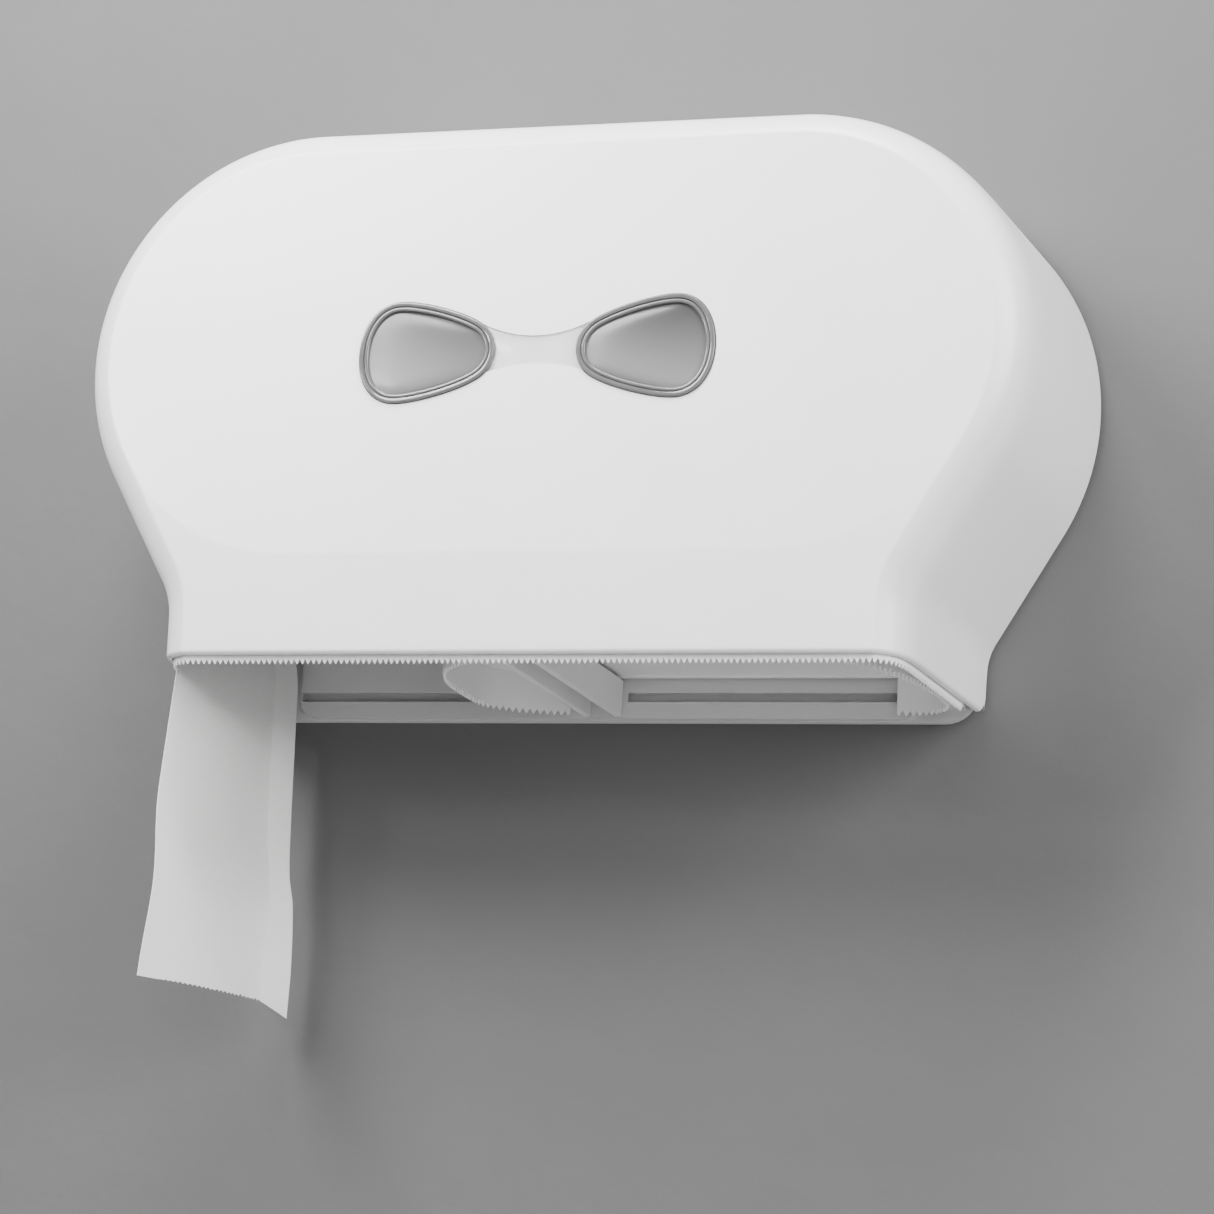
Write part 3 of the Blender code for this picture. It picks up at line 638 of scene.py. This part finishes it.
def open_edges(data):
    """Places of the open border's edges, apart from the rear rim's."""
    bm = bmesh.new()
    bm.from_mesh(data)
    found = {frozenset(v.co.to_tuple(5) for v in edge.verts) for edge in bm.edges
             if edge.is_boundary and any(v.co.y < REAR_Y - 0.00001 for v in edge.verts)}
    bm.free()
    return found


def round_lip(obj, marked):
    """Rounds the outer edge of the cover's lower lip."""
    data = obj.data
    weights = data.attributes.new("bevel_weight_edge", "FLOAT", "EDGE")
    for edge, weight in zip(data.edges, weights.data):
        ends = frozenset(data.vertices[i].co.to_tuple(5) for i in edge.vertices)
        weight.value = 1.0 if ends in marked else 0.0
    mod = obj.modifiers.new("round", "BEVEL")
    mod.limit_method, mod.width, mod.segments = "WEIGHT", LIP_ROUND, 5
    mod.use_clamp_overlap = False


def upright(radius, low, high):
    """Upright round bar on the lock's axis."""
    ring = arc(LOCK_X, LOCK_Y, radius, radius, 0, 2 * math.pi, 96)[:-1]
    return loft("upright", [[(x, y, z) for x, y in ring] for z in (low, high)], ends=True)


def hinge_bosses():
    """Bosses inside the cover's lower corners, bored for the hinge pins."""
    near, far, radius, edge, clearance = 0.1696, 0.1745, 0.0037, 0.0003, 0.00006
    verts, faces = [], []
    for side, sign in SIDES.items():
        low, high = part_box("hinge_pin_" + side)
        y, z = (low.y + high.y) / 2, (low.z + high.z) / 2
        bore = (high.z - low.z) / 2 + clearance
        left, right = sorted((sign * near, sign * far))
        profile = [(left, bore), (left, radius - edge), (left + edge, radius),
                   (right - edge, radius), (right, radius - edge), (right, bore)]
        boss = loft("boss", [[(x, y + r * math.cos(t), z + r * math.sin(t)) for t in turns(48)]
                             for x, r in profile], along=True)
        base = len(verts)
        verts += [tuple(v.co) for v in boss.vertices]
        faces += [tuple(base + i for i in p.vertices) for p in boss.polygons]
    piece("hinge_bosses", mesh("hinge_bosses", verts, faces), SHADED_INNER_WHITE, "front_cover")


# ---------------------------------------------------------------- window lens

def window_outline(sign, grow=0.0):
    """One window: a rounded triangle with bowed sides, from its support in each direction."""
    cx, cz = WINDOW_CENTRE
    nudge = 0.0001

    def support(turn):
        reaches = [(x - cx) * math.cos(turn) + (z - cz) * math.sin(turn) + radius + grow
                   for x, z, radius in WINDOW_CIRCLES]
        return sum(max(r, 0.0) ** WINDOW_BLEND for r in reaches) ** (1 / WINDOW_BLEND)

    points = []
    for turn in turns(192):
        reach = support(turn)
        slope = (support(turn + nudge) - support(turn - nudge)) / (2 * nudge)
        points.append((sign * (cx + reach * math.cos(turn) - slope * math.sin(turn)),
                       cz + reach * math.sin(turn) + slope * math.cos(turn)))
    return points[::sign]


def waist_edge(x, top, grow=0.0):
    """Height of the strip's lower edge (0) or upper edge (1), narrowest in the middle."""
    way = 2 * top - 1
    return WAIST_Z[top] + way * (grow + WAIST_CURVE[top] * x * x)


def waist_seat_outline(steps=20):
    """Outline of the strip's recess, which runs on into both windows."""
    xs = [SEAT_END * i / steps for i in range(-steps, steps + 1)]
    return [(x, waist_edge(x, 0, GAP)) for x in xs] + [(x, waist_edge(x, 1, GAP)) for x in xs[::-1]]


def waist_outline(steps=24):
    """Outline of the strip itself, which ends under the windows' rims."""
    end = sorted(((x, z) for x, z in window_outline(1, -0.0020)
                  if x < WAIST_END and waist_edge(x, 0) < z < waist_edge(x, 1)), key=lambda p: p[1])
    floor = [end[0][0] * (2 * i / steps - 1) for i in range(steps + 1)]
    roof = [end[-1][0] * (1 - 2 * i / steps) for i in range(steps + 1)]
    left = [(-x, z) for x, z in reversed(end)]
    return ([(x, waist_edge(x, 0)) for x in floor] + end[1:-1]
            + [(x, waist_edge(x, 1)) for x in roof] + left[1:-1])


def inset_rings(loop, profile):
    """Rings inside a closed outline. Profile points are (inset, y)."""
    normals = normals_of(loop, True)
    return [[(x + n.x * inset, y, z + n.y * inset) for (x, z), n in zip(loop, normals)]
            for inset, y in profile]


def window_pane(edge):
    """Shallow dome inside an edge ring, steepest near the edge."""
    bulge, thick, levels = 0.0012, 0.0010, 24
    near, far = min(p[0] for p in edge), max(p[0] for p in edge)
    cx, half = (near + far) / 2, (far - near) / 2
    cz = sum(p[2] for p in edge) / len(edge)
    outwards = range(1, levels + 1)
    rings = []
    for lift, way in ((0.0, outwards), (thick, outwards[::-1])):
        for level in way:
            s = math.sin(level / levels * math.pi / 2)
            ring = []
            for x, y, z in edge:
                across = abs((x - cx) / half * s)
                dome = bulge * (1 - across ** 2.2) * (1 - s ** 10)
                ring.append((cx + (x - cx) * s, y - dome + lift, cz + (z - cz) * s))
            rings.append(ring)
    return loft("pane", rings, ends=True)


def window_lens():
    """Stepped rims, domed panes and the flush strip between them."""
    front, back = FACE_Y - 0.0012, FACE_Y + 0.0030
    rim = [(0.0, back), (0.0, FACE_Y - 0.0004), (0.0001, front + 0.0003), (0.0003, front + 0.00005),
           (0.0006, front), (0.0017, front), (0.0020, front + 0.0001), (0.0022, front + 0.0008),
           (0.0024, front + 0.0009), (0.0026, front + 0.0004), (0.0029, front + 0.0003),
           (0.0036, front + 0.0003), (0.0040, front + 0.0005), (RIM_WIDTH, front + 0.0012),
           (RIM_WIDTH, back)]
    for side, sign in SIDES.items():
        loop = window_outline(sign)
        loop = resample(loop + loop[:1], 160)[:-1]
        piece("window_rim_" + side, loft("rim", inset_rings(loop, rim), along=True), RIM,
              "window_lens", 50)
        edge = inset_rings(loop, [(RIM_WIDTH - 0.0001, FACE_Y + 0.0004)])[0]
        piece("window_pane_" + side, window_pane(edge), PANE, "window_lens", 60)
    strip = inset_rings(waist_outline(), [(0.0, FACE_Y + 0.0009), (0.0, FACE_Y + 0.0002),
                                          (0.0001, FACE_Y + 0.00005), (0.0003, FACE_Y)])
    piece("window_waist", loft("waist", strip, ends=True), WAIST, "window_lens", 50)


# ---------------------------------------------------------------- serrated strip and shutter

def lip_path(inset, reach):
    """Plan of the cover's lower edge, moved inwards by inset: left side, front, right side."""
    steps = 90
    front_y = FACE_Y + chin_drop(NECK_X, LIP_Z)
    scale = (REAR_Y - front_y) / (REAR_Y - FACE_Y)
    edge = []
    for i in range(steps):
        depth = reach * (1 - i / (steps - 1)) ** 2
        edge.append(Vector((NECK_X + flare(depth), front_y + depth * scale)))
    side = []
    for before, point, after in zip(edge, edge[1:], edge[2:]):
        along = (after - before).normalized()
        moved = point + inset * Vector((along.y, -along.x))
        if moved.y > front_y + inset:
            side.append(tuple(moved))
    return [(-x, y) for x, y in side] + side[::-1]


def serration(k):
    """0 in a notch and 1 at a tooth's tip, with the tip and the notch slightly rounded."""
    wave = abs((k % PER_TOOTH) / PER_TOOTH * 2 - 1)
    return clamped((1 - wave) * 1.25 - 0.12)


def toothed_wall(name, path, inward, top, lows, reaches, thick, tooth, closed=False):
    """Upright wall along a path, down to lows. Below it, reaches is each point's share of a tooth."""
    edge, root = 0.0004, 0.0001
    middle = thick / 2
    rings = []
    for (x, y), n, low, reach in zip(path, inward, lows, reaches):
        tip = low - tooth * reach
        taper = thick * (0.5 - 0.32 * reach)
        shoulder = tip + 0.0002 * reach
        section = [(0.0, top - edge), (0.0, low + root), (middle - taper, shoulder), (middle, tip),
                   (middle + taper, shoulder), (thick, low + root), (thick, top - edge),
                   (thick - edge, top), (edge, top)]
        rings.append([(x + n.x * d, y + n.y * d, z) for d, z in section])
    return loft(name, rings, along=closed, ends=not closed)


def cutter_strip():
    """Toothed strip inside the cover's lower edge, along its front and both sides."""
    pitch, thick, tooth, side_reach = 0.0026, 0.0014, 0.0022, 0.108
    outer = lip_path(WALL + 2 * GAP, side_reach)
    path = resample(outer, round(length_of(outer) / pitch) * PER_TOOTH)
    reaches = [serration(k) for k in range(len(path))]
    lows = [STRIP_LOW.z + tooth] * len(path)
    data = toothed_wall("serrated_strip", path, normals_of(path, False), STRIP_HIGH.z, lows,
                        reaches, thick, tooth)
    piece("serrated_strip", data, STRIP_WHITE, "cutter_strip", 40)


def shutter_plan():
    """Plan of the shutter, whose corners are quarter ellipses: (corner, its two half axes)."""
    (x0, y0), (x1, y1) = SHUTTER_LOW.xy, SHUTTER_HIGH.xy
    corners = ((x0, y0, 0.038, 0.060), (x1, y0, 0.035, 0.082), (x1, y1, 0.024, 0.024),
               (x0, y1, 0.038, 0.030))
    quarter = math.pi / 2
    plan = []
    for k, (x, y, a, b) in enumerate(corners, start=2):
        cx = x + a if x == x0 else x - a
        cy = y + b if y == y0 else y - b
        plan += arc(cx, cy, a, b, k * quarter, (k + 1) * quarter, 40)
    return plan


def roll_shutter():
    """Flat top with toothed skirts hanging from its two ends, open between them."""
    pitch, thick, tooth = 0.0033, 0.0018, 0.0024
    left_end, right_front, right_rear = -0.0145, 0.1290, 0.1385     # the skirts' free ends
    plan = shutter_plan()
    plan.append(plan[0])
    path = resample(plan, round(length_of(plan) / pitch) * PER_TOOTH)[:-1]
    inward = normals_of(path, True)
    root, lintel = SHUTTER_LOW.z + tooth, SHUTTER_HIGH.z - thick - 0.0009
    lows, reaches = [], []
    for k, (x, y) in enumerate(path):
        right_end = right_front if y < (SHUTTER_LOW.y + SHUTTER_HIGH.y) / 2 else right_rear
        hangs = x < left_end or x > right_end
        lows.append(root if hangs else lintel)
        reaches.append(serration(k) if hangs else 0.0)
    wall = toothed_wall("shutter", path, inward, SHUTTER_HIGH.z, lows, reaches, thick, tooth,
                        closed=True)
    verts = [tuple(v.co) for v in wall.vertices]
    faces = [tuple(p.vertices) for p in wall.polygons]
    top = [(x + n.x * thick * 0.6, y + n.y * thick * 0.6) for (x, y), n in zip(path, inward)][::4]
    base, count = len(verts), len(top)
    for z in (SHUTTER_HIGH.z - 0.00005, SHUTTER_HIGH.z - thick):
        verts += [(x, y, z) for x, y in top]
    upper = list(range(base, base + count))
    lower = [k + count for k in upper]
    faces += [tuple(upper), tuple(lower[::-1])]
    faces += list(zip(upper, upper[1:] + upper[:1], lower[1:] + lower[:1], lower))
    piece("shutter_tray", mesh("shutter_tray", verts, faces), STRIP_WHITE, "roll_shutter", 40)


# ---------------------------------------------------------------- rolls and spindles

def roll(side):
    """Wound paper, whose layers stand slightly unevenly at the roll's ends."""
    layer, uneven, round_y, round_r = 0.0009, 0.00045, 0.0012, 0.0005
    low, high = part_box("paper_roll_" + side)
    core_low, core_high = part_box("roll_core_" + side)
    inner, radius = (core_high.z - core_low.z) / 2 + 0.0001, (high.z - low.z) / 2
    steps = int((radius - inner) / layer)
    levels = [inner + (radius - round_y - inner) * k / steps for k in range(steps + 1)]

    def wander(r, key):
        return uneven * (0.5 + 0.5 * noise.noise(Vector((r * 420, key, 0.0))))

    profile = [(low.y + wander(r, 1.5), r) for r in levels]
    profile += [(low.y + 0.0004, radius - round_r), (low.y + round_y, radius)]
    profile += [(high.y - round_y, radius), (high.y - 0.0004, radius - round_r)]
    profile += [(high.y - wander(r, 7.5), r) for r in reversed(levels)]
    piece("wound_paper_" + side, lathe("roll", axis_of(side), profile, 160), wound_paper(side),
          "paper_roll_" + side, 50)


def core(side):
    """Cardboard tube, slightly rounded at its ends."""
    low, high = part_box("roll_core_" + side)
    edge, outer = 0.0003, (high.z - low.z) / 2 - 0.0001
    bore = outer - 0.0014
    tube = [(low.y + edge, outer), (low.y, outer - edge), (low.y, bore + edge), (low.y + edge, bore),
            (high.y - edge, bore), (high.y, bore + edge), (high.y, outer - edge),
            (high.y - edge, outer)]
    piece("core_tube_" + side, lathe("core", axis_of(side), tube, 96), BOARD, "roll_core_" + side, 50)


def spindle(side):
    """Hollow post with a flange on the plate, a web inside and a snap-in cap."""
    low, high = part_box("spindle_" + side)
    flange_r, post, bore, screw_hole = (high.z - low.z) / 2, 0.0290, 0.0255, 0.0023
    flange, web = high.y - 0.0045, high.y - 0.0060
    profile = [(high.y, flange_r - 0.0003), (high.y - 0.0003, flange_r), (flange + 0.0015, flange_r),
               (flange + 0.0004, flange_r - 0.0004), (flange, flange_r - 0.0015),
               (flange, post + 0.0012), (flange - 0.0004, post + 0.0004), (flange - 0.0012, post),
               (low.y + 0.0015, post), (low.y + 0.0005, post - 0.0005), (low.y, post - 0.0015),
               (low.y, bore + 0.0003), (low.y + 0.0003, bore), (web, bore), (web, screw_hole),
               (high.y, screw_hole)]
    piece("spindle_post_" + side, lathe("post", axis_of(side), profile), SHADED_INNER_WHITE,
          "spindle_" + side, 40)
    refined("spindle_cap_" + side, CAP_GREY, 0.0004)
    refined("spindle_screw_" + side, ZINC, 0.0002)


# ---------------------------------------------------------------- hanging sheet

def spline(points, t):
    """Smooth curve through points (key, x, y, ...) at key t, keys falling."""
    if t >= points[0][0]:
        return Vector(points[0][1:])
    for k, (a, b) in enumerate(zip(points, points[1:])):
        if t >= b[0]:
            before = points[max(k - 1, 0)]
            after = points[min(k + 2, len(points) - 1)]
            s = (a[0] - t) / (a[0] - b[0])
            pa, pb = Vector(a[1:]), Vector(b[1:])
            ta = (pb - Vector(before[1:])) * (a[0] - b[0]) / max(before[0] - b[0], 1e-9)
            tb = (Vector(after[1:]) - pa) * (a[0] - b[0]) / max(a[0] - after[0], 1e-9)
            s2, s3 = s * s, s * s * s
            return (pa * (2 * s3 - 3 * s2 + 1) + ta * (s3 - 2 * s2 + s)
                    + pb * (3 * s2 - 2 * s3) + tb * (s3 - s2))
    return Vector(points[-1][1:])


# (z, x, y) of the sheet's front edge, its fold and its rear edge, from the roll down
ROLL_SIDE = axis_of("left")[0] - 0.0724
SHEET_FRONT = ((0.126, ROLL_SIDE, -0.1135), (0.080, ROLL_SIDE + 0.001, -0.1133),
               (0.020, -0.1660, -0.1122), (-0.004, -0.1668, -0.1120), (-0.053, -0.1698, -0.1120),
               (-0.091, -0.1685, -0.1120), (-0.123, -0.1712, -0.1120), (-0.1365, -0.1722, -0.1120))
SHEET_FOLD = ((0.126, ROLL_SIDE, -0.0320), (0.080, ROLL_SIDE + 0.005, -0.0300),
              (0.020, -0.1575, -0.0250), (-0.003, -0.1563, -0.0245), (-0.033, -0.1556, -0.0242),
              (-0.062, -0.1541, -0.0240), (-0.082, -0.1512, -0.0240), (-0.098, -0.1505, -0.0240),
              (-0.119, -0.1514, -0.0240), (-0.136, -0.1507, -0.0240))
SHEET_REAR = ((0.126, ROLL_SIDE, -0.0190), (0.080, ROLL_SIDE + 0.008, -0.0195),
              (0.020, -0.1475, -0.0215), (-0.003, -0.1457, -0.0220), (-0.049, -0.1440, -0.0220),
              (-0.076, -0.1424, -0.0220), (-0.090, -0.1396, -0.0220), (-0.118, -0.1379, -0.0220),
              (-0.142, -0.1380, -0.0220))


def torn_end(share):
    """Height of the torn edge across the sheet: teeth marks, then the long rear corner."""
    front_z, rise, fold_z, drop = -0.1358, 0.0012, -0.1345, 0.0075
    marks, depth, marks_from, marks_full = 32, 0.0013, 0.12, 0.20
    if share > FOLD_SHARE:
        return fold_z - drop * (share - FOLD_SHARE) / (1 - FOLD_SHARE)
    phase = share * marks
    size = 0.55 + 0.45 * noise.noise(Vector((math.floor(phase) * 1.7, 3.0, 0.0)))
    bite = max(0.0, math.sin(math.pi * (phase % 1.0))) ** 0.7 * depth * size
    fade = clamped((share - marks_from) / (marks_full - marks_from))
    return front_z + rise * share / FOLD_SHARE + bite * fade


def sheet_point(z, share):
    """Point of the sheet at a height, from its front edge (0) to its rear edge (1)."""
    sag, ripple, crease = 0.0030, 0.0007, 0.0008
    front, fold, rear = (spline(points, z) for points in (SHEET_FRONT, SHEET_FOLD, SHEET_REAR))
    hang = clamped((0.09 - z) / 0.10)
    if share > FOLD_SHARE:
        u = (share - FOLD_SHARE) / (1 - FOLD_SHARE)
        at = fold.lerp(rear, u)
        at.y += crease * hang * math.sin(math.pi * u)
    else:
        u = share / FOLD_SHARE
        at = front.lerp(fold, u)
        wave = sag * math.sin(math.pi * u) * math.sin(38.0 * z + 0.6)
        at.x += hang * (wave + ripple * noise.noise(Vector((u * 5.0, z * 22.0, 4.0))))
    return at.x, at.y, z


def paper_tail():
    """Both faces of the hanging sheet, joined round its border."""
    columns, rows, thick = 256, 150, 0.00030
    wide = columns + 1
    verts = []
    for lift in (0.0, thick):
        for j in range(rows + 1):
            for share in (i / columns for i in range(wide)):
                x, y, z = sheet_point(TAIL_TOP + (torn_end(share) - TAIL_TOP) * j / rows, share)
                bent = share > FOLD_SHARE
                verts.append((x + (0.0 if bent else lift), y + (lift if bent else 0.0), z))
    size = wide * (rows + 1)
    faces = []
    for j in range(rows):
        for i in range(columns):
            a = j * wide + i
            faces.append((a, a + 1, a + wide + 1, a + wide))
            faces.append((size + a, size + a + wide, size + a + wide + 1, size + a + 1))
    border = list(range(wide))
    border += [j * wide + columns for j in range(1, rows + 1)]
    border += [rows * wide + i for i in range(columns - 1, -1, -1)]
    border += [j * wide for j in range(rows - 1, 0, -1)]
    for a, b in zip(border, border[1:] + border[:1]):
        faces.append((a, size + a, size + b, b))
    sheet = piece("hanging_sheet", mesh("hanging_sheet", verts, faces), TISSUE, "paper_tail", 55)
    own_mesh(sheet)


# ---------------------------------------------------------------- stage, light and camera

def camera():
    """Camera below the dispenser and to its right, looking slightly up."""
    data = bpy.data.cameras.new("camera")
    data.sensor_width, data.lens = 36.0, 118.6
    obj = linked("camera", data)
    right = Vector((0.94923, 0.30761, 0.0658)).normalized()
    forward = Vector((-0.3145, 0.9237, 0.21877)).normalized()
    up = right.cross(forward)
    turn = Matrix((right, up, -forward)).transposed().to_4x4()
    obj.matrix_world = Matrix.Translation((0.5747, -1.7022, -0.3483)) @ turn
    bpy.context.scene.camera = obj


# Round soft lamps: elevation, degrees to the right of the front, distance, diameter and watts
LAMPS = {
    "key": (33, -32, 1.15, 0.6, 16.5),
    "overhead": (63, 0, 1.10, 0.5, 10.0),
    "side": (18, 64, 1.90, 1.2, 32.0),
    "low": (-8, 48, 1.90, 1.0, 4.0),
    "front": (6, 10, 1.90, 0.8, 5.5),
    "back": (25, 205, 1.90, 1.2, 9.0),
    "glint": (12, -33, 1.90, 0.20, 3.5),
}


def lights():
    """Soft lamps round the dispenser, all turned towards its middle."""
    middle = Vector((0.0, -0.06, 0.08))
    for name, (elevation, azimuth, distance, size, power) in LAMPS.items():
        up, right = math.radians(elevation), math.radians(azimuth)
        way = Vector((math.sin(right) * math.cos(up), -math.cos(right) * math.cos(up), math.sin(up)))
        data = bpy.data.lights.new(name, "AREA")
        data.shape, data.size, data.energy = "DISK", size, power
        obj = linked(name, data)
        obj.location = middle + distance * way
        obj.rotation_euler = way.to_track_quat("Z", "Y").to_euler()


def surroundings():
    """Dim white world, brighter where the camera sees it, and a tone curve for white plastics."""
    world = bpy.data.worlds.new("world")
    world.use_nodes = True
    tree = world.node_tree
    seen = add(tree, "LightPath").outputs["Is Camera Ray"]
    strength = add(tree, "MapRange", Value=seen, To_Min=0.02, To_Max=0.35).outputs["Result"]
    feed(tree, tree.nodes["Background"], Color=(1, 1, 1, 1), Strength=strength)
    bpy.context.scene.world = world
    view = bpy.context.scene.view_settings
    view.view_transform, view.look = "AgX", "AgX - Medium High Contrast"


def stage():
    """Plain wall behind the dispenser and a plain pale floor below the camera."""
    half, floor_z, top_z, back = 3.0, -0.62, 2.2, 0.0006
    planes = {
        "stage_wall": (0.16, [(-half, back, floor_z), (half, back, floor_z), (half, back, top_z),
                              (-half, back, top_z)]),
        "stage_floor": (0.50, [(-half, -half, floor_z), (half, -half, floor_z),
                               (half, half, floor_z), (-half, half, floor_z)]),
    }
    for name, (grey, corners) in planes.items():
        data = mesh(name, corners, [(0, 1, 2, 3)])
        data.materials.append(painted(name, grey))
        linked(name, data)


# ---------------------------------------------------------------- assembly

def build():
    front_cover()
    hinge_bosses()
    window_lens()
    cutter_strip()
    roll_shutter()
    for side in SIDES:
        roll(side)
        core(side)
        spindle(side)
        refined("hinge_pin_" + side, ZINC)
    paper_tail()
    refined("back_plate", SHADED_INNER_WHITE, smooth=20)
    refined("centre_bridge", STRIP_WHITE, 0.0005)
    refined("shutter_guide", SHADED_INNER_WHITE, 0.0004)
    refined("lock_keeper", SHADED_INNER_WHITE, 0.0004)
    refined("lock_cam", ZINC, 0.0003)
    refined("lock_housing", CHROME)
    refined("lock_plug", CHROME)
    for k in range(1, 5):
        refined(f"wall_screw_{k}", ZINC, 0.0002)
    camera()
    lights()
    surroundings()
    stage()


build()
